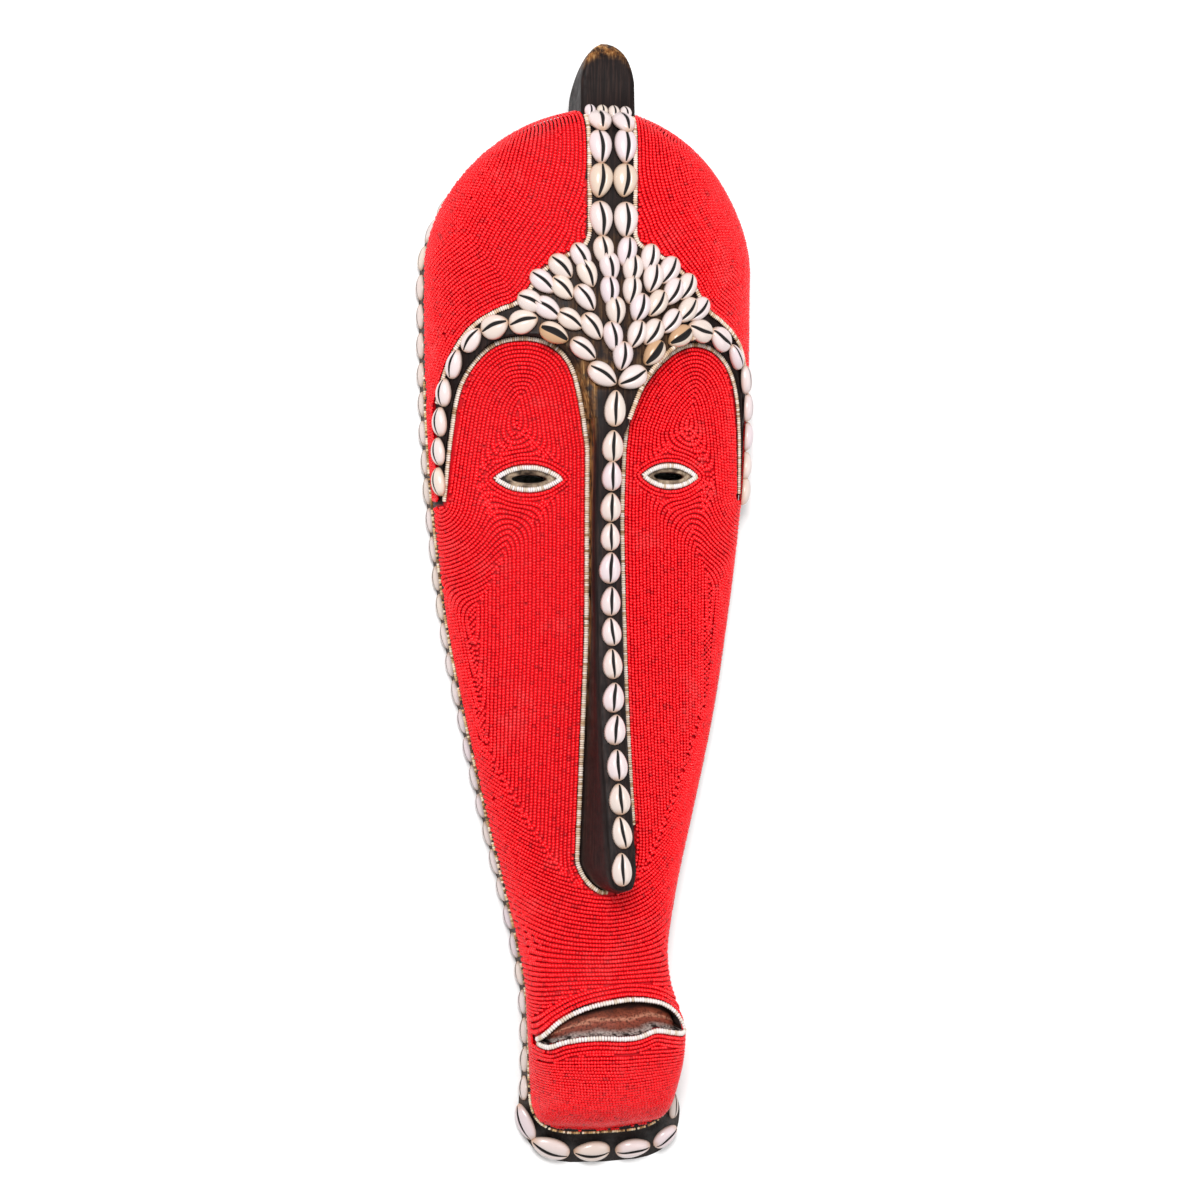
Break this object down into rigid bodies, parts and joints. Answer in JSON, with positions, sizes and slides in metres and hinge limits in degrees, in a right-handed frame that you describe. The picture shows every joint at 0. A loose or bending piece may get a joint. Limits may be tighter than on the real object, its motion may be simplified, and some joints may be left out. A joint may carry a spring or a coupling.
{
  "type": "ngil mask",
  "caption": "Long carved wooden face mask with a hollow back, covered in red glass beads and edged with cream beads and cowrie shells",
  "frame": {"origin": "middle of the footprint, on the surface that the back rim lies on", "axes": "+Z out of the face, +Y to the crest, +X to the right of someone who looks at the face"},
  "size_m": [0.2362, 0.7572, 0.1125],
  "materials": {
    "carved_wood": "stained near black, worn brown at the edges",
    "red_glass_beads": "opaque glossy seed beads",
    "cream_glass_beads": "opaque glossy seed beads",
    "cowrie_shell": "naturally polished shell"
  },
  "bodies": {
    "root": {"brow_and_nose_edging": "cream_glass_beads", "brow_shells_left_1": "cowrie_shell", "brow_shells_left_2": "cowrie_shell", "brow_shells_right_1": "cowrie_shell", "brow_shells_right_2": "cowrie_shell", "brow_shells_right_3": "cowrie_shell", "chin_shell_1": "cowrie_shell", "chin_shell_2": "cowrie_shell", "chin_shell_3": "cowrie_shell", "chin_shell_4": "cowrie_shell", "chin_shell_5": "cowrie_shell", "eye_edging_left": "cream_glass_beads", "eye_edging_right": "cream_glass_beads", "face_beadwork": "red_glass_beads", "fan_shells_1": "cowrie_shell", "fan_shells_10": "cowrie_shell", "fan_shells_11": "cowrie_shell", "fan_shells_2": "cowrie_shell", "fan_shells_3": "cowrie_shell", "fan_shells_4": "cowrie_shell", "fan_shells_5": "cowrie_shell", "fan_shells_6": "cowrie_shell", "fan_shells_7": "cowrie_shell", "fan_shells_8": "cowrie_shell", "fan_shells_9": "cowrie_shell", "forehead_beadwork_left": "red_glass_beads", "forehead_beadwork_right": "red_glass_beads", "forehead_edging_left": "cream_glass_beads", "forehead_edging_right": "cream_glass_beads", "mouth_edging": "cream_glass_beads", "nose_shell_1": "cowrie_shell", "nose_shell_10": "cowrie_shell", "nose_shell_11": "cowrie_shell", "nose_shell_12": "cowrie_shell", "nose_shell_13": "cowrie_shell", "nose_shell_14": "cowrie_shell", "nose_shell_15": "cowrie_shell", "nose_shell_2": "cowrie_shell", "nose_shell_3": "cowrie_shell", "nose_shell_4": "cowrie_shell", "nose_shell_5": "cowrie_shell", "nose_shell_6": "cowrie_shell", "nose_shell_7": "cowrie_shell", "nose_shell_8": "cowrie_shell", "nose_shell_9": "cowrie_shell", "rim_shells_left_1": "cowrie_shell", "rim_shells_left_2": "cowrie_shell", "rim_shells_right_1": "cowrie_shell", "rim_shells_right_2": "cowrie_shell", "rim_shells_right_3": "cowrie_shell", "stem_shell_left_1": "cowrie_shell", "stem_shell_left_2": "cowrie_shell", "stem_shell_left_3": "cowrie_shell", "stem_shell_left_4": "cowrie_shell", "stem_shell_right_1": "cowrie_shell", "stem_shell_right_2": "cowrie_shell", "stem_shell_right_3": "cowrie_shell", "stem_shell_right_4": "cowrie_shell", "wooden_mask": "carved_wood"}
  },
  "joints": []
}
